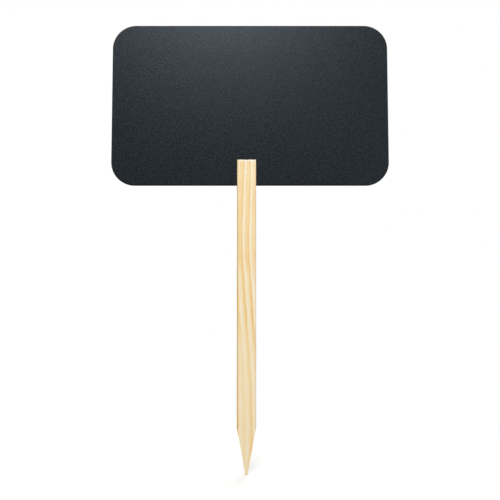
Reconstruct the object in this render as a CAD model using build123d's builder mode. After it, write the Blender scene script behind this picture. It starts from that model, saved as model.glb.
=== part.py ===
from build123d import *
import os

# Plant label stake: a chalkboard pushed by hand into the saw kerf across the head of a pointed pine stake.
# Millimetres. The origin is the middle of the stake's point, +Z is up and -Y is the front.

# Chalkboard: a fibreboard core between two writing faces
board_width = 150.0
board_height = 88.6
board_corner_radius = 12.8
core_thickness = 1.4
face_thickness = 0.3
edge_bevel = 0.6  # cut round the front and the back, through the writing face and into the core
board_shift = 1.85  # how far right of the stake the middle of the board sits

# Pine stake, a planed lath with eased arrises
stake_length = 166.4
stake_width = 10.2
stake_thickness = 6.0
arris_radius = 0.4
head_corner_radius = 0.7

# Point, sawn from both narrow sides and left blunt
point_length = 24.1
point_width = 0.85

# Saw kerf that grips the board
kerf_depth = 13.8
kerf_clearance = 0.05  # between the board and each wall of the kerf

# Places that follow from the sizes above
board_thickness = core_thickness + 2 * face_thickness
kerf_width = board_thickness + 2 * kerf_clearance
kerf_floor = stake_length - kerf_depth
board_middle = Plane(
    origin=(board_shift, 0, kerf_floor + board_height / 2),
    x_dir=(1, 0, 0),
    z_dir=(0, -1, 0),
)

os.makedirs("parts", exist_ok=True)

# The lath is cut to its outline, which tapers to the point, and the kerf is sawn down from its head.
with BuildPart() as stake:
    with BuildSketch(Plane.XY):
        RectangleRounded(stake_width, stake_thickness, arris_radius)
    extrude(amount=stake_length)
    with BuildSketch(Plane.XZ) as outline:
        with BuildLine():
            Polyline(
                (-point_width / 2, 0),
                (point_width / 2, 0),
                (stake_width / 2, point_length),
                (stake_width / 2, stake_length),
                (-stake_width / 2, stake_length),
                (-stake_width / 2, point_length),
                close=True,
            )
        make_face()
        fillet(outline.vertices().group_by(Axis.Y)[-1], head_corner_radius)
    extrude(amount=stake_thickness, both=True, mode=Mode.INTERSECT)
    with BuildSketch(Plane.YZ):
        with Locations((0, kerf_floor)):
            Rectangle(kerf_width, 2 * kerf_depth, align=(Align.CENTER, Align.MIN))
    extrude(amount=stake_width, both=True, mode=Mode.SUBTRACT)
stake.part.label = "stake"
export_step(stake.part, "parts/stake.step")

# The board is laminated, cut to size and then bevelled, so each layer is a slice of the bevelled board.
# Its lower edge stands on the floor of the kerf. A layer starts this far in front of the board's middle.
board_layers = (
    ("front_writing_face", core_thickness / 2, face_thickness),
    ("board_core", -core_thickness / 2, core_thickness),
    ("back_writing_face", -board_thickness / 2, face_thickness),
)
for layer_name, layer_start, layer_thickness in board_layers:
    with BuildPart() as layer:
        with BuildSketch(board_middle):
            RectangleRounded(board_width, board_height, board_corner_radius)
        extrude(amount=board_thickness / 2, both=True)
        chamfer(layer.faces().filter_by(Axis.Y).edges(), edge_bevel)
        with BuildSketch(board_middle.offset(layer_start)):
            Rectangle(2 * board_width, 2 * board_height)
        extrude(amount=layer_thickness, mode=Mode.INTERSECT)
    layer.part.label = layer_name
    export_step(layer.part, f"parts/{layer_name}.step")
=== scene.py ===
import math
import bpy
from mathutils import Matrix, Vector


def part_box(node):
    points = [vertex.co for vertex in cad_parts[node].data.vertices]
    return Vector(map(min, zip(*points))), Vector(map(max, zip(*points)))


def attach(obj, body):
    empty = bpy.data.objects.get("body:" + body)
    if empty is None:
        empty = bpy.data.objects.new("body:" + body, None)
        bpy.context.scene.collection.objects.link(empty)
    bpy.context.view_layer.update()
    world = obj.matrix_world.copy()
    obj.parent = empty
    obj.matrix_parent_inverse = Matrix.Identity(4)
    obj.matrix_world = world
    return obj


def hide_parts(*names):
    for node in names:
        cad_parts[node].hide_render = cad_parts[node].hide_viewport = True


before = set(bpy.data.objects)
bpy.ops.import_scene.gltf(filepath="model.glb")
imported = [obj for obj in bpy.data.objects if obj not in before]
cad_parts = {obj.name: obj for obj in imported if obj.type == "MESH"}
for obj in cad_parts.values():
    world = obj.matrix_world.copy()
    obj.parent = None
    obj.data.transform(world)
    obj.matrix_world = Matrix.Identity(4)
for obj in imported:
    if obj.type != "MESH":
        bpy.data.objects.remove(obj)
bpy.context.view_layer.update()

mm = 0.001  # lengths below are in millimetres unless a note says otherwise
noiseLow, noiseMiddle, noiseHigh = 0.3, 0.5, 0.7  # a noise texture mostly stays between the outer two
print("frame loaded:", ", ".join(sorted(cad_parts)))


def linear(hexColour):
    # sRGB hex to the linear values that a colour socket takes
    channels = [int(hexColour[i:i + 2], 16) / 255 for i in (1, 3, 5)]
    return (*(c / 12.92 if c <= 0.04045 else ((c + 0.055) / 1.055) ** 2.4 for c in channels), 1)


def addNode(tree, kind, inputs=(), **settings):
    # inputs: socket name or number to a value, a node (its first output), a socket, or a list of those
    # settings: the node's own properties, and for a ramp or a curve the places and values of its points
    # Map Range takes its value at 0, what it comes from at 1 and 2 and what it goes to at 3 and 4
    # Mix takes its share at 0, numbers at 2 and 3, and colours at 6 and 7, with the mixed colour at output 2
    node = tree.nodes.new(kind)
    points = settings.pop("points", ())
    for name, value in settings.items():
        setattr(node, name, value)
    for step, (at, value) in enumerate(points):
        if kind == "ShaderNodeValToRGB":
            stops = node.color_ramp.elements
            stop = stops.new(at) if step > 1 else stops[step]
            stop.position = at
            stop.color = value
        else:
            curve = node.mapping.curves[0].points
            stop = curve.new(at, value) if step > 1 else curve[step]
            stop.location = (at, value)
            stop.handle_type = "AUTO_CLAMPED"
    if points and kind == "ShaderNodeFloatCurve":
        node.mapping.update()
    for socket, value in dict(inputs).items():
        for source in value if isinstance(value, list) else [value]:
            if isinstance(source, bpy.types.Node):
                source = source.outputs[0]
            if isinstance(source, bpy.types.NodeSocket):
                tree.links.new(source, node.inputs[socket])
            else:
                node.inputs[socket].default_value = source
    return node


def newMaterial(name):
    material = bpy.data.materials.new(name)
    material.use_nodes = True
    material.node_tree.nodes.clear()
    return material, material.node_tree


# Growth rings, shared by the pine's colour and by the relief of its planed faces
stakeLow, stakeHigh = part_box("stake")
rings = {
    "spacing": 3.45,
    "pithLeft": 46.0,  # the pith was this far to the left of the stake
    "pithBack": 9.0,  # and this far behind it
    # height, and how far to the right one ring ends on the front face there
    "run": ((0, 2.7), (22, 3.15), (43, 2.8), (66, 1.5), (82, 0.3), (106, -1.3), (121, -2.0), (133, -1.9),
            (149, -1.45), (166.4, -0.9)),
    "runReach": 4.0,  # the run stays within this
    "wander": 0.24,  # rings wander by up to this
    "wanderAcross": 3.0,  # over this distance across the grain
    "wanderAlong": 14.0,
}


def alongStake(tree, up, points):
    # a value that changes with height, from pairs of height and value
    top = stakeHigh.z / mm
    share = addNode(tree, "ShaderNodeMath", {0: up, 1: top}, operation="DIVIDE", use_clamp=True)
    curve = [(at / top, value) for at, value in points]
    return addNode(tree, "ShaderNodeFloatCurve", {1: share}, points=curve)


def growthRings(tree, place):
    # counts rings outwards from the pith, for a place in metres; works in shader and geometry trees
    placeMm = addNode(tree, "ShaderNodeVectorMath", {0: place, "Scale": 1 / mm}, operation="SCALE")
    axes = addNode(tree, "ShaderNodeSeparateXYZ", {0: placeMm}).outputs
    reach = rings["runReach"]  # the curve holds 0 to 1, so the run is fitted into that and taken out again
    run = alongStake(tree, axes[2], [(at, 0.5 + sideways / reach / 2) for at, sideways in rings["run"]])
    run = addNode(tree, "ShaderNodeMapRange", {0: run, 1: 0.0, 2: 1.0, 3: -reach, 4: reach})
    grain = (rings["wanderAcross"], rings["wanderAcross"], rings["wanderAlong"])
    drawn = addNode(tree, "ShaderNodeVectorMath", {0: placeMm, 1: grain}, operation="DIVIDE")
    noise = addNode(tree, "ShaderNodeTexNoise", {"Vector": drawn, "Scale": 1.0, "Detail": 3.0})
    wander = addNode(tree, "ShaderNodeMapRange",
                     {0: noise, 1: noiseLow, 2: noiseHigh, 3: -rings["wander"], 4: rings["wander"]})
    across = addNode(tree, "ShaderNodeMath", {0: axes[0], 1: run}, operation="SUBTRACT")
    across = addNode(tree, "ShaderNodeMath", {0: across, 1: rings["pithLeft"]}, operation="ADD")
    behind = addNode(tree, "ShaderNodeMath", {0: axes[1], 1: rings["pithBack"]}, operation="SUBTRACT")
    flat = addNode(tree, "ShaderNodeCombineXYZ", {0: across, 1: behind})
    out = addNode(tree, "ShaderNodeVectorMath", {0: flat}, operation="LENGTH").outputs["Value"]
    out = addNode(tree, "ShaderNodeMath", {0: out, 1: wander}, operation="ADD")
    # a ring ends along the run on the front face
    start = math.hypot(rings["pithLeft"], rings["pithBack"] - stakeLow.y / mm)
    out = addNode(tree, "ShaderNodeMath", {0: out, 1: start}, operation="SUBTRACT")
    return addNode(tree, "ShaderNodeMath", {0: out, 1: rings["spacing"]}, operation="DIVIDE")


# Pine stake: a planed lath, sawn to its point and sawn down from its head
boardThickness = (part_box("back_writing_face")[1].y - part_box("front_writing_face")[0].y) / mm
kerfClearance = 0.05  # between the board and each wall of the kerf
lath = {
    # each size is a named input of the node tree
    "sizes": {
        "length": stakeHigh.z / mm,
        "width": (stakeHigh.x - stakeLow.x) / mm,
        "thickness": (stakeHigh.y - stakeLow.y) / mm,
        "arris": 0.4,
        "headCorner": 0.7,  # the head's two corners, seen from the front
        "headEase": 0.6,  # its front and back edges
        "pointLength": 24.1,
        "pointWidth": 0.85,
        "kerfDepth": (stakeHigh.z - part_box("board_core")[0].z) / mm,
        "kerfWidth": boardThickness + 2 * kerfClearance,
        "spare": 2.0,  # the lath starts this far below its sawn end
        "lateRidge": 0.03,  # planed latewood stands this far proud
        "unevenness": 0.05,  # planed faces swell and sink within this
        "swellLength": 28.0,  # over this length
    },
    # points on an arris and round the section, and steps up the shank and the head
    "steps": {"arris": 6, "section": 160, "shank": 236, "head": 14},
    "latewood": (0.45, 0.9),  # the ridge rises between these shares of a ring
    "crispEdge": 35,  # degrees; sharper edges than this stay crisp
    "weld": 0.001,  # points closer than this become one
}


def drawnLath(tree, given):
    # planed section with eased arrises
    section = addNode(tree, "GeometryNodeCurvePrimitiveQuadrilateral",
                      {"Width": given["width"], "Height": given["thickness"]})
    section = addNode(tree, "GeometryNodeFilletCurve",
                      {"Curve": section, "Count": lath["steps"]["arris"], "Radius": given["arris"]},
                      mode="POLY")
    section = addNode(tree, "GeometryNodeResampleCurve",
                      {"Curve": section, "Count": lath["steps"]["section"]}, mode="COUNT")

    # the section is drawn up the stake, in closer steps in the head
    low = addNode(tree, "ShaderNodeMath", {0: 0.0, 1: given["spare"]}, operation="SUBTRACT")
    headStart = addNode(tree, "ShaderNodeMath", {0: given["length"], 1: given["headCorner"]},
                        operation="SUBTRACT")
    stretches = []
    for start, end, part in ((low, headStart, "shank"), (headStart, given["length"], "head")):
        start = addNode(tree, "ShaderNodeCombineXYZ", {2: start})
        end = addNode(tree, "ShaderNodeCombineXYZ", {2: end})
        stretches.append(addNode(tree, "GeometryNodeMeshLine",
                                 {"Count": lath["steps"][part], "Start Location": start, "Offset": end},
                                 mode="END_POINTS"))
    path = addNode(tree, "GeometryNodeJoinGeometry", {0: stretches})
    path = addNode(tree, "GeometryNodeMergeByDistance", {"Geometry": path, "Distance": lath["weld"] * mm})
    path = addNode(tree, "GeometryNodeMeshToCurve", {0: path})
    return addNode(tree, "GeometryNodeCurveToMesh",
                   {"Curve": path, "Profile Curve": section, "Fill Caps": True})


def roundedHead(tree, given, piece, axes):
    # near its top each side is held within a quarter circle
    sides = []
    for axis, size, ease in ((0, "width", "headCorner"), (1, "thickness", "headEase")):
        half = addNode(tree, "ShaderNodeMath", {0: given[size], 1: 0.5}, operation="MULTIPLY")
        begin = addNode(tree, "ShaderNodeMath", {0: given["length"], 1: given[ease]}, operation="SUBTRACT")
        above = addNode(tree, "ShaderNodeMath", {0: axes[2], 1: begin}, operation="SUBTRACT")
        above = addNode(tree, "ShaderNodeMath", {0: above, 1: 0.0}, operation="MAXIMUM")
        rise = addNode(tree, "ShaderNodeMath", {0: above, 1: above}, operation="MULTIPLY")
        square = addNode(tree, "ShaderNodeMath", {0: given[ease], 1: given[ease]}, operation="MULTIPLY")
        left = addNode(tree, "ShaderNodeMath", {0: square, 1: rise}, operation="SUBTRACT")
        left = addNode(tree, "ShaderNodeMath", {0: left, 1: 0.0}, operation="MAXIMUM")
        left = addNode(tree, "ShaderNodeMath", {0: left}, operation="SQRT")
        lost = addNode(tree, "ShaderNodeMath", {0: given[ease], 1: left}, operation="SUBTRACT")
        limit = addNode(tree, "ShaderNodeMath", {0: half, 1: lost}, operation="SUBTRACT")
        under = addNode(tree, "ShaderNodeMath", {0: limit, 1: -1.0}, operation="MULTIPLY")
        held = addNode(tree, "ShaderNodeMath", {0: axes[axis], 1: limit}, operation="MINIMUM")
        sides.append(addNode(tree, "ShaderNodeMath", {0: held, 1: under}, operation="MAXIMUM"))
    rounded = addNode(tree, "ShaderNodeCombineXYZ", {0: sides[0], 1: sides[1], 2: axes[2]})
    piece = addNode(tree, "GeometryNodeSetPosition", {"Geometry": piece, "Position": rounded})
    return addNode(tree, "GeometryNodeMergeByDistance", {"Geometry": piece, "Distance": lath["weld"] * mm})


def planedFaces(tree, given, piece, place):
    # planing leaves the latewood a little proud and the faces a little uneven
    ring = addNode(tree, "ShaderNodeMath", {0: growthRings(tree, place)}, operation="FRACT")
    ridge = addNode(tree, "ShaderNodeMapRange",
                    {0: ring, 1: lath["latewood"][0], 2: lath["latewood"][1], 3: 0.0, 4: given["lateRidge"]},
                    interpolation_type="SMOOTHSTEP")
    swell = addNode(tree, "ShaderNodeMath", {0: 1.0, 1: given["swellLength"]}, operation="DIVIDE")
    swell = addNode(tree, "ShaderNodeTexNoise", {"Vector": place, "Scale": swell, "Detail": 1.0})
    swell = addNode(tree, "ShaderNodeMath", {0: swell, 1: noiseMiddle}, operation="SUBTRACT")
    swell = addNode(tree, "ShaderNodeMath", {0: swell, 1: given["unevenness"]}, operation="MULTIPLY")
    proud = addNode(tree, "ShaderNodeMath", {0: ridge, 1: swell}, operation="ADD")
    proud = addNode(tree, "ShaderNodeMath", {0: proud, 1: given["lateRidge"]}, operation="SUBTRACT")
    outwards = addNode(tree, "GeometryNodeInputNormal")
    offset = addNode(tree, "ShaderNodeVectorMath", {0: outwards, "Scale": proud}, operation="SCALE")
    return addNode(tree, "GeometryNodeSetPosition", {"Geometry": piece, "Offset": offset})


def sawnLath(tree, given, piece, axes):
    twice = {}
    for size in ("length", "width", "thickness", "kerfDepth"):
        twice[size] = addNode(tree, "ShaderNodeMath", {0: given[size], 1: 2.0}, operation="MULTIPLY")
    upwards = addNode(tree, "ShaderNodeCombineXYZ", {2: given["length"]})

    # what the saw leaves is a block whose two sides lean in to the blunt end of the point
    block = addNode(tree, "ShaderNodeCombineXYZ",
                    {0: given["width"], 1: twice["thickness"], 2: twice["length"]})
    block = addNode(tree, "GeometryNodeMeshCube", {"Size": block})
    block = addNode(tree, "GeometryNodeTransform", {"Geometry": block, "Translation": upwards})
    tip = addNode(tree, "ShaderNodeMath", {0: given["pointWidth"], 1: 0.5}, operation="MULTIPLY")
    half = addNode(tree, "ShaderNodeMath", {0: given["width"], 1: 0.5}, operation="MULTIPLY")
    lean = addNode(tree, "ShaderNodeMapRange",
                   {0: axes[2], 1: 0.0, 2: given["pointLength"], 3: tip, 4: half}, clamp=False)
    side = addNode(tree, "ShaderNodeMath", {0: axes[0]}, operation="SIGN")
    lean = addNode(tree, "ShaderNodeMath", {0: lean, 1: side}, operation="MULTIPLY")
    lean = addNode(tree, "ShaderNodeCombineXYZ", {0: lean, 1: axes[1], 2: axes[2]})
    block = addNode(tree, "GeometryNodeSetPosition", {"Geometry": block, "Position": lean})

    # the kerf is a slot down through the head
    slot = addNode(tree, "ShaderNodeCombineXYZ",
                   {0: twice["width"], 1: given["kerfWidth"], 2: twice["kerfDepth"]})
    slot = addNode(tree, "GeometryNodeMeshCube", {"Size": slot})
    slot = addNode(tree, "GeometryNodeTransform", {"Geometry": slot, "Translation": upwards})

    # sawn faces keep a note of it for the material
    marked = []
    for shape, sawn in ((piece, 0.0), (block, 1.0), (slot, 1.0)):
        marked.append(addNode(tree, "GeometryNodeStoreNamedAttribute",
                              {"Geometry": shape, "Name": "sawn", "Value": sawn},
                              data_type="FLOAT", domain="FACE"))
    piece, block, slot = marked
    piece = addNode(tree, "GeometryNodeMeshBoolean", {"Mesh 2": [piece, block]},
                    operation="INTERSECT", solver="MANIFOLD")
    return addNode(tree, "GeometryNodeMeshBoolean", {"Mesh 1": piece, "Mesh 2": slot},
                   operation="DIFFERENCE", solver="MANIFOLD")


def stakeTree(material):
    tree = bpy.data.node_groups.new("pointedLath", "GeometryNodeTree")
    for name in lath["sizes"]:
        tree.interface.new_socket(name, in_out="INPUT", socket_type="NodeSocketFloat")
    tree.interface.new_socket("Geometry", in_out="OUTPUT", socket_type="NodeSocketGeometry")
    given = addNode(tree, "NodeGroupInput").outputs
    place = addNode(tree, "GeometryNodeInputPosition")
    axes = addNode(tree, "ShaderNodeSeparateXYZ", {0: place}).outputs
    piece = drawnLath(tree, given)
    piece = roundedHead(tree, given, piece, axes)
    piece = planedFaces(tree, given, piece, place)
    piece = sawnLath(tree, given, piece, axes)

    # smooth faces with crisp sawn edges
    angle = addNode(tree, "GeometryNodeInputMeshEdgeAngle")
    crisp = addNode(tree, "FunctionNodeCompare", {0: angle, 1: math.radians(lath["crispEdge"])},
                    operation="GREATER_THAN")
    piece = addNode(tree, "GeometryNodeSetShadeSmooth", {"Geometry": piece}, domain="FACE")
    piece = addNode(tree, "GeometryNodeSetShadeSmooth",
                    {"Geometry": piece, "Selection": crisp, "Shade Smooth": False}, domain="EDGE")
    piece = addNode(tree, "GeometryNodeRealizeInstances", {"Geometry": piece})
    piece = addNode(tree, "GeometryNodeSetMaterial", {"Geometry": piece, "Material": material})
    addNode(tree, "NodeGroupOutput", {0: piece})
    return tree


def makeStake(material):
    maker = bpy.data.objects.new("lathMaker", bpy.data.meshes.new("lathMaker"))
    bpy.context.scene.collection.objects.link(maker)
    modifier = maker.modifiers.new("pointedLath", "NODES")
    modifier.node_group = stakeTree(material)
    for item in modifier.node_group.interface.items_tree:
        if item.in_out == "INPUT":
            modifier[item.identifier] = lath["sizes"][item.name] * mm
    graph = bpy.context.evaluated_depsgraph_get()
    mesh = bpy.data.meshes.new_from_object(maker.evaluated_get(graph))
    bpy.data.objects.remove(maker)
    stake = bpy.data.objects.new("pineStake", mesh)
    bpy.context.scene.collection.objects.link(stake)
    print("stake made:", len(mesh.vertices), "points,", len(mesh.polygons), "faces")
    return stake


# Planed pine: pale cream early wood that deepens to honey latewood and stops short at the next ring, with
# fine streaks along the grain and a dry, silky sheen. The sawn faces are rougher and duller.
pine = {
    "colours": ((0.0, "#F9EFD6"), (0.45, "#F6DDAC"), (1.0, "#EDC27B")),  # early wood to latewood
    # share of a ring, and how deep its colour is there: low on the stake, and higher up, where gold is broad
    "ringLow": ((0, 0), (0.36, 0.02), (0.5, 0.25), (0.62, 0.5), (0.78, 0.76), (0.92, 1.0), (1, 0)),
    "ringHigh": ((0, 0), (0.18, 0.03), (0.36, 0.62), (0.6, 0.72), (0.92, 1.0), (1, 0)),
    "ringChange": (96, 116),  # heights between which one turns into the other
    # height, with the depth of the early wood there and how far the latewood rises above it, from 0 to 1
    "early": ((0, 0.46), (5, 0.3), (11, 0.2), (25, 0.26), (60, 0.23), (95, 0.18), (110, 0.15), (125, 0.06),
              (145, 0.1), (166.4, 0.07)),
    "rise": ((0, 0.6), (25, 0.55), (50, 0.45), (80, 0.8), (108, 0.78), (120, 0.66), (145, 0.62),
             (166.4, 0.62)),
    "faintRing": -2,  # rings up to this number, furthest to the left, are fainter
    "faintShare": 0.5,
    "patchAcross": 5.0,  # patches of more and of less gold are about this wide
    "patchAlong": 25.0,  # and this long
    "patchShare": (0.75, 1.15),  # how much of the gold the palest and the deepest patches have
    "fibreAcross": 0.6,  # several real fibres wide, so that the streaks show
    "fibreAlong": 10.0,
    "fibreShare": 0.18,  # how far a streak changes the depth of the colour
    "fibreDepth": 0.02,  # of its relief
    # bands along the arrises of the front and the back: painted shade on both arrises, stronger on the left,
    # a golden band just inside the left one, and a painted highlight on the right one; side, how far in from
    # it a band starts and is full, strength on the shank and on the head, how it changes the wood, colour
    "arrisLightBands": (
        (-1, 1.15, 0.8, 1.0, 0.9, "MULTIPLY", "#F6E8CA"),
        (-1, 0.5, 0.1, 1.0, 0.6, "MULTIPLY", "#B7AA94"),
        (1, 0.95, 0.6, 0.32, 0.1, "MIX", "#FFFBF0"),
        (1, 0.5, 0.1, 1.0, 0.0, "MULTIPLY", "#DFC49B"),
    ),
    "arrisLightDepth": (1.0, 0.55),  # how far behind the face they start and are full
    "arrisLightChange": (151, 155),  # heights between which the shank turns into the head
    "headHighlight": "#FFFBF0",  # painted highlight on the rounded edge of the head
    "headHighlightFade": (1.15, 0.85),  # depths below the top of the head between which it starts
    "headHighlightShare": 0.6,
    "endColour": "#D9BC8B",
    "endFade": (0.08, 0.03),  # depths below the top of the head between which the end grain starts
    # small marks on the front: sideways, height, half width, half height, strength, colour
    "marks": (
        (-1.65, 126.4, 0.5, 0.22, 0.45, "#8C6238"),
        (-0.75, 123.6, 0.5, 0.22, 0.3, "#8C6238"),
        (0.55, 159.7, 1.9, 0.4, 0.5, "#FBF3DE"),
    ),
    "markDepth": 1.0,  # how far into the wood a mark reaches
    "markCore": 0.4,  # a mark is full strength within this share of its size
    "sawnColour": "#DCC092",
    "sawPitch": 0.9,  # the saw's lines are about this far apart
    "sawDrift": 20.0,  # and change over this distance along their length
    "sawDepth": 0.1,
    "sawShare": (1.1, 0.6),  # how much of the sawn colour the grooves and the ridges take
    "roughness": (0.62, 0.54),  # early wood, latewood
    "ior": 1.5,
    "specularLevel": 0.3,
}


def ringDepth(tree, place, placeMm, up):
    # how deep the gold is: it deepens through each ring and ends short
    count = growthRings(tree, place)
    within = addNode(tree, "ShaderNodeMath", {0: count}, operation="FRACT")
    ringLow = addNode(tree, "ShaderNodeFloatCurve", {1: within}, points=pine["ringLow"])
    ringHigh = addNode(tree, "ShaderNodeFloatCurve", {1: within}, points=pine["ringHigh"])
    upper = addNode(tree, "ShaderNodeMapRange",
                    {0: up, 1: pine["ringChange"][0], 2: pine["ringChange"][1], 3: 0.0, 4: 1.0},
                    interpolation_type="SMOOTHSTEP")
    gold = addNode(tree, "ShaderNodeMix", {0: upper, 2: ringLow, 3: ringHigh}, data_type="FLOAT")

    # it differs with height, from ring to ring and in patches
    rise = alongStake(tree, up, pine["rise"])
    whole = addNode(tree, "ShaderNodeMath", {0: count}, operation="FLOOR")
    faint = pine["faintRing"]
    ringRise = addNode(tree, "ShaderNodeMapRange",
                       {0: whole, 1: faint, 2: faint + 1, 3: pine["faintShare"], 4: 1.0})
    grain = (pine["patchAcross"], pine["patchAcross"], pine["patchAlong"])
    patch = addNode(tree, "ShaderNodeVectorMath", {0: placeMm, 1: grain}, operation="DIVIDE")
    patch = addNode(tree, "ShaderNodeTexNoise", {"Vector": patch, "Scale": 1.0, "Detail": 1.0})
    least, most = pine["patchShare"]
    patch = addNode(tree, "ShaderNodeMapRange", {0: patch, 1: noiseLow, 2: noiseHigh, 3: least, 4: most})
    for share in (rise, ringRise, patch):
        gold = addNode(tree, "ShaderNodeMath", {0: gold, 1: share}, operation="MULTIPLY")
    early = alongStake(tree, up, pine["early"])
    return addNode(tree, "ShaderNodeMath", {0: gold, 1: early}, operation="ADD")


def edgedWood(tree, wood, axes, cut):
    # painted highlight round the top of the head, darker on sawn faces and on end grain
    top = stakeHigh.z / mm
    low, high = [top - below for below in pine["endFade"]]
    end = addNode(tree, "ShaderNodeMapRange", {0: axes[2], 1: low, 2: high, 3: 0.0, 4: 1.0})
    low, high = [top - below for below in pine["headHighlightFade"]]
    paintedHighlight = addNode(tree, "ShaderNodeMapRange",
                     {0: axes[2], 1: low, 2: high, 3: 0.0, 4: pine["headHighlightShare"]})
    wood = addNode(tree, "ShaderNodeMix", {0: paintedHighlight, 6: wood, 7: linear(pine["headHighlight"])},
                   data_type="RGBA").outputs[2]
    for amount, colour in ((cut, "sawnColour"), (end, "endColour")):
        wood = addNode(tree, "ShaderNodeMix", {0: amount, 6: wood, 7: linear(pine[colour])},
                       data_type="RGBA", blend_type="MULTIPLY").outputs[2]
    return wood


def paintArrisLight(tree, wood, axes):
    # painted shade along both arrises, darker on the left, a golden band just inside the left one and a
    # painted highlight along the right one, all close to the front and the back
    depth = addNode(tree, "ShaderNodeMath", {0: axes[1]}, operation="ABSOLUTE")
    inside, outside = [stakeHigh.y / mm - behind for behind in pine["arrisLightDepth"]]
    outer = addNode(tree, "ShaderNodeMapRange", {0: depth, 1: inside, 2: outside, 3: 0.0, 4: 1.0})
    low, high = pine["arrisLightChange"]
    edge = stakeHigh.x / mm
    for side, start, full, onShank, onHead, blend, colour in pine["arrisLightBands"]:
        share = addNode(tree, "ShaderNodeMapRange", {0: axes[2], 1: low, 2: high, 3: onShank, 4: onHead})
        share = addNode(tree, "ShaderNodeMath", {0: share, 1: outer}, operation="MULTIPLY")
        paintedLight = addNode(tree, "ShaderNodeMapRange",
                       {0: axes[0], 1: side * (edge - start), 2: side * (edge - full), 3: 0.0, 4: share})
        # each band paints shade or highlight onto the wood, except the golden one
        wood = addNode(tree, "ShaderNodeMix", {0: paintedLight, 6: wood, 7: linear(colour)},
                       data_type="RGBA", blend_type=blend).outputs[2]
    return wood


def markedWood(tree, wood, placeMm):
    for sideways, up, halfWide, halfHigh, strength, colour in pine["marks"]:
        middle = (sideways, stakeLow.y / mm, up)
        reach = (halfWide, pine["markDepth"], halfHigh)
        off = addNode(tree, "ShaderNodeVectorMath", {0: placeMm, 1: middle}, operation="SUBTRACT")
        off = addNode(tree, "ShaderNodeVectorMath", {0: off, 1: reach}, operation="DIVIDE")
        off = addNode(tree, "ShaderNodeVectorMath", {0: off}, operation="LENGTH").outputs["Value"]
        mark = addNode(tree, "ShaderNodeMapRange",
                       {0: off, 1: pine["markCore"], 2: 1.0, 3: strength, 4: 0.0})
        wood = addNode(tree, "ShaderNodeMix", {0: mark, 6: wood, 7: linear(colour)},
                       data_type="RGBA").outputs[2]
    return wood


def planedPine():
    material, tree = newMaterial("planedPine")
    place = addNode(tree, "ShaderNodeTexCoord").outputs["Object"]
    placeMm = addNode(tree, "ShaderNodeVectorMath", {0: place, "Scale": 1 / mm}, operation="SCALE")
    axes = addNode(tree, "ShaderNodeSeparateXYZ", {0: placeMm}).outputs
    gold = ringDepth(tree, place, placeMm, axes[2])

    # fibres: short streaks of deeper and paler gold
    grain = (pine["fibreAcross"], pine["fibreAcross"], pine["fibreAlong"])
    drawn = addNode(tree, "ShaderNodeVectorMath", {0: placeMm, 1: grain}, operation="DIVIDE")
    fibre = addNode(tree, "ShaderNodeTexNoise",
                    {"Vector": drawn, "Scale": 1.0, "Detail": 3.0, "Roughness": 0.6})
    streak = addNode(tree, "ShaderNodeMapRange",
                     {0: fibre, 1: noiseLow, 2: noiseHigh, 3: -pine["fibreShare"], 4: pine["fibreShare"]})
    gold = addNode(tree, "ShaderNodeMath", {0: gold, 1: streak}, operation="ADD")
    wood = addNode(tree, "ShaderNodeValToRGB", {0: gold},
                   points=[(at, linear(colour)) for at, colour in pine["colours"]])

    # the saw's lines across sawn faces
    sawn = addNode(tree, "ShaderNodeAttribute", attribute_name="sawn").outputs["Fac"]
    pitch = (0.0, 1 / pine["sawDrift"], 1 / pine["sawPitch"])
    lines = addNode(tree, "ShaderNodeVectorMath", {0: placeMm, 1: pitch}, operation="MULTIPLY")
    lines = addNode(tree, "ShaderNodeTexNoise", {"Vector": lines, "Scale": 1.0, "Detail": 2.0})
    cut = addNode(tree, "ShaderNodeMapRange",
                  {0: lines, 1: noiseLow, 2: noiseHigh, 3: pine["sawShare"][0], 4: pine["sawShare"][1]})
    cut = addNode(tree, "ShaderNodeMath", {0: cut, 1: sawn}, operation="MULTIPLY")

    wood = edgedWood(tree, wood, axes, cut)
    wood = paintArrisLight(tree, wood, axes)
    wood = markedWood(tree, wood, placeMm)

    # relief in millimetres: fibres and the saw's lines
    lines = addNode(tree, "ShaderNodeMath", {0: lines, 1: pine["sawDepth"]}, operation="MULTIPLY")
    lines = addNode(tree, "ShaderNodeMath", {0: lines, 1: sawn}, operation="MULTIPLY")
    relief = addNode(tree, "ShaderNodeMath", {0: fibre, 1: pine["fibreDepth"], 2: lines},
                     operation="MULTIPLY_ADD")
    bump = addNode(tree, "ShaderNodeBump", {"Height": relief, "Strength": 1.0, "Distance": mm})
    dull = addNode(tree, "ShaderNodeMapRange",
                   {0: gold, 1: 0.0, 2: 1.0, 3: pine["roughness"][0], 4: pine["roughness"][1]})
    shader = addNode(tree, "ShaderNodeBsdfPrincipled", {
        "Base Color": wood,
        "Roughness": dull,
        "IOR": pine["ior"],
        "Specular IOR Level": pine["specularLevel"],
        "Normal": bump,
    })
    addNode(tree, "ShaderNodeOutputMaterial", {0: shader})
    return material


# Melamine laminate pressed to a fine pebble, as chalkboards are: near black with a blue cast, dry enough for
# chalk, so light spreads over it as a soft sheen; each pebble has a grey of its own, with a painted
# highlight on its top and painted shade between pebbles
laminate = {
    "dark": "#000206",  # between the pebbles, as painted shade
    "light": "#2A2F31",  # the palest pebble tops, as painted highlight
    "sheen": "#DFF1FF",  # tint of the light that it throws back
    "pebble": 0.68,  # about twice as coarse as on a real board, so that it shows
    "stir": 0.8,  # pebbles are pushed out of round over this distance
    "stirReach": 1.2,
    "pebbleReach": 0.6,  # a pebble falls from its middle to its foot over this share of its size
    "pebbleTone": (0.25, 1.0),  # each pebble's own grey at its top, where the highlight is painted, from the darkest to the lightest
    "pebbleDepth": 0.022,
    "grit": 0.45,  # finer than the pebbles, and drawn coarser than it is for the same reason
    "gritDepth": 0.015,
    "roughness": 0.286,
    "ior": 1.5,
    "specularLevel": 0.172,
}


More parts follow.
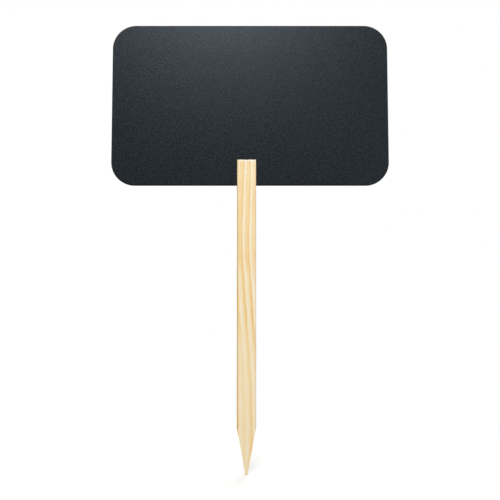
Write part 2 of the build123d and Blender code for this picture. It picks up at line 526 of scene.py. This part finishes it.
def pressedMelamine():
    material, tree = newMaterial("pressedMelamine")
    place = addNode(tree, "ShaderNodeTexCoord").outputs["Object"]
    placeMm = addNode(tree, "ShaderNodeVectorMath", {0: place, "Scale": 1 / mm}, operation="SCALE")
    axes = addNode(tree, "ShaderNodeSeparateXYZ", {0: placeMm}).outputs

    # pebbles, each with a grey of its own, painted lighter at the top as a highlight and darker at the foot
    # as shade
    flat = addNode(tree, "ShaderNodeCombineXYZ", {0: axes[0], 1: axes[2]})
    stir = addNode(tree, "ShaderNodeTexNoise",
                   {"Vector": placeMm, "Scale": 1 / laminate["stir"], "Detail": 2.0})
    stir = addNode(tree, "ShaderNodeVectorMath", {0: stir.outputs["Color"], "Scale": laminate["stirReach"]},
                   operation="SCALE")
    flat = addNode(tree, "ShaderNodeVectorMath", {0: flat, 1: stir}, operation="ADD")
    pebbles = addNode(tree, "ShaderNodeTexVoronoi", {"Vector": flat, "Scale": 1 / laminate["pebble"]},
                      voronoi_dimensions="2D").outputs
    pebble = addNode(tree, "ShaderNodeMapRange",
                     {0: pebbles["Distance"], 1: laminate["pebbleReach"], 2: 0.0, 3: 0.0, 4: 1.0})
    tone = addNode(tree, "ShaderNodeSeparateXYZ", {0: pebbles["Color"]})
    tone = addNode(tree, "ShaderNodeMapRange",
                   {0: tone, 1: 0.0, 2: 1.0, 3: laminate["pebbleTone"][0], 4: laminate["pebbleTone"][1]})
    greyWithPaintedTop = addNode(tree, "ShaderNodeMath", {0: pebble, 1: tone}, operation="MULTIPLY")
    colour = addNode(tree, "ShaderNodeMix",
                     {0: greyWithPaintedTop, 6: linear(laminate["dark"]), 7: linear(laminate["light"])}, data_type="RGBA")

    # relief in millimetres: pebbles with finer grit over them
    grit = addNode(tree, "ShaderNodeTexNoise",
                   {"Vector": placeMm, "Scale": 1 / laminate["grit"], "Detail": 1.0})
    grit = addNode(tree, "ShaderNodeMath", {0: grit, 1: laminate["gritDepth"]}, operation="MULTIPLY")
    relief = addNode(tree, "ShaderNodeMath", {0: pebble, 1: laminate["pebbleDepth"], 2: grit},
                     operation="MULTIPLY_ADD")
    bump = addNode(tree, "ShaderNodeBump", {"Height": relief, "Strength": 1.0, "Distance": mm})
    shader = addNode(tree, "ShaderNodeBsdfPrincipled", {
        "Base Color": colour.outputs[2],
        "Roughness": laminate["roughness"],
        "IOR": laminate["ior"],
        "Specular IOR Level": laminate["specularLevel"],
        "Specular Tint": linear(laminate["sheen"]),
        "Normal": bump,
    })
    addNode(tree, "ShaderNodeOutputMaterial", {0: shader})
    return material


# Fibreboard dyed black all through and bevelled with a cutter, so its edge is a soft dead black
fibreboard = {
    "dark": "#0B0C0D",
    "light": "#17191A",
    "fibre": 0.5,  # clumps of fibres, because single ones are too fine to show
    "fibreDepth": 0.03,
    "roughness": 0.85,
    "specularLevel": 0.1,
}


def cutFibreboard():
    material, tree = newMaterial("cutFibreboard")
    place = addNode(tree, "ShaderNodeTexCoord").outputs["Object"]
    placeMm = addNode(tree, "ShaderNodeVectorMath", {0: place, "Scale": 1 / mm}, operation="SCALE")
    fibre = addNode(tree, "ShaderNodeTexNoise",
                    {"Vector": placeMm, "Scale": 1 / fibreboard["fibre"], "Detail": 3.0})
    colour = addNode(tree, "ShaderNodeMix",
                     {0: fibre, 6: linear(fibreboard["dark"]), 7: linear(fibreboard["light"])},
                     data_type="RGBA")
    relief = addNode(tree, "ShaderNodeMath", {0: fibre, 1: fibreboard["fibreDepth"]}, operation="MULTIPLY")
    bump = addNode(tree, "ShaderNodeBump", {"Height": relief, "Strength": 1.0, "Distance": mm})
    shader = addNode(tree, "ShaderNodeBsdfPrincipled", {
        "Base Color": colour.outputs[2],
        "Roughness": fibreboard["roughness"],
        "Specular IOR Level": fibreboard["specularLevel"],
        "Normal": bump,
    })
    addNode(tree, "ShaderNodeOutputMaterial", {0: shader})
    return material


# the stake takes the place of its CAD node, and the board's nodes keep their shape
stake = makeStake(planedPine())
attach(stake, "stake")
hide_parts("stake")
faceFinish = pressedMelamine()
for node in ("front_writing_face", "back_writing_face"):
    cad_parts[node].material_slots[0].material = faceFinish
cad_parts["board_core"].material_slots[0].material = cutFibreboard()
print("board finished")


# Studio: pale floor, white surroundings, a soft box high in front, a weak one to the right and one behind
studio = {
    "fill": 0.414,  # strength of the surroundings as they light the object; as they are seen it is 1
    "floorSize": 6.0,  # metres, as are the other lengths here
    "floorFade": (0.06, 0.35),  # the floor turns to plain white between these distances from the stake
    "card": "#BCBCBC",  # the floor as it lights the object
    "paper": "#F2F2F0",  # the floor as it is seen
    "paperGlow": 0.22,  # keeps it near white
    "aim": (0, 0, 0.14),  # the soft boxes face this place
    "softBoxes": {
        "frontBox": {"place": (-0.039, -0.70, 0.632), "side": 0.20, "watts": 3.94},
        "sideBox": {"place": (0.45, -0.80, 0.24), "side": 0.40, "watts": 1.02},
        "backBox": {"place": (0.10, 0.75, 0.66), "side": 0.40, "watts": 4.5},
    },
}
white = (1, 1, 1, 1)


def whiteToEye(tree, rest, seen):
    # the camera, and rays off gloss and through glass, meet seen; light on the object comes from rest
    path = addNode(tree, "ShaderNodeLightPath").outputs
    eye = path["Is Camera Ray"]
    for ray in ("Is Glossy Ray", "Is Transmission Ray"):
        eye = addNode(tree, "ShaderNodeMath", {0: eye, 1: path[ray]}, operation="MAXIMUM")
    return addNode(tree, "ShaderNodeMixShader", {0: eye, 1: rest, 2: seen})


def makeSurroundings():
    world = bpy.data.worlds.new("whiteRoom")
    bpy.context.scene.world = world
    world.use_nodes = True
    tree = world.node_tree
    tree.nodes.clear()
    fill = addNode(tree, "ShaderNodeBackground", {0: white, 1: studio["fill"]})
    plain = addNode(tree, "ShaderNodeBackground", {0: white, 1: 1.0})
    addNode(tree, "ShaderNodeOutputWorld", {0: whiteToEye(tree, fill, plain)})


def makeFloor():
    # matt paper that keeps the shadow near the stake and turns to plain white further out
    material, tree = newMaterial("paperFloor")
    card = addNode(tree, "ShaderNodeBsdfDiffuse", {0: linear(studio["card"])})
    paper = addNode(tree, "ShaderNodeBsdfDiffuse", {0: linear(studio["paper"])})
    glow = addNode(tree, "ShaderNodeEmission", {0: white, 1: studio["paperGlow"]})
    lit = addNode(tree, "ShaderNodeAddShader", {0: paper, 1: glow})
    far = addNode(tree, "ShaderNodeEmission", {0: white, 1: 1.0})
    place = addNode(tree, "ShaderNodeTexCoord").outputs["Object"]
    reach = addNode(tree, "ShaderNodeVectorMath", {0: place}, operation="LENGTH").outputs["Value"]
    away = addNode(tree, "ShaderNodeMapRange",
                   {0: reach, 1: studio["floorFade"][0], 2: studio["floorFade"][1], 3: 0.0, 4: 1.0},
                   interpolation_type="SMOOTHSTEP")
    seen = addNode(tree, "ShaderNodeMixShader", {0: away, 1: lit, 2: far})
    addNode(tree, "ShaderNodeOutputMaterial", {0: whiteToEye(tree, card, seen)})
    half = studio["floorSize"] / 2
    corners = [(-half, -half, 0), (half, -half, 0), (half, half, 0), (-half, half, 0)]
    mesh = bpy.data.meshes.new("paperFloor")
    mesh.from_pydata(corners, [], [(0, 1, 2, 3)])
    mesh.materials.append(material)
    floor = bpy.data.objects.new("paperFloor", mesh)
    bpy.context.scene.collection.objects.link(floor)


def makeSoftBoxes():
    for name, box in studio["softBoxes"].items():
        lamp = bpy.data.lights.new(name, "AREA")
        lamp.size = box["side"]
        lamp.energy = box["watts"]
        stand = bpy.data.objects.new(name, lamp)
        stand.location = box["place"]
        back = [here - there for here, there in zip(box["place"], studio["aim"])]
        flat = math.hypot(back[0], back[1])
        stand.rotation_euler = (math.atan2(flat, back[2]), 0, math.atan2(back[0], -back[1]))
        bpy.context.scene.collection.objects.link(stand)


makeSurroundings()
makeFloor()
makeSoftBoxes()
print("studio lit")

# Camera: below the middle of the label and tilted up
camera = {
    "lens": 65.0,
    "sensor": 36.0,  # its width
    "place": (0.00184, -0.48117, 0.07067),  # metres
    "tiltUp": 5.589,  # degrees
    "nearest": 0.01,  # metres
}
lens = bpy.data.cameras.new("photoCamera")
lens.lens = camera["lens"]
lens.sensor_width = camera["sensor"]
lens.clip_start = camera["nearest"]
eye = bpy.data.objects.new("photoCamera", lens)
eye.location = camera["place"]
eye.rotation_euler = (math.radians(90 + camera["tiltUp"]), 0, 0)
bpy.context.scene.collection.objects.link(eye)
bpy.context.scene.camera = eye
bpy.context.scene.view_settings.view_transform = "Standard"
print("camera placed")
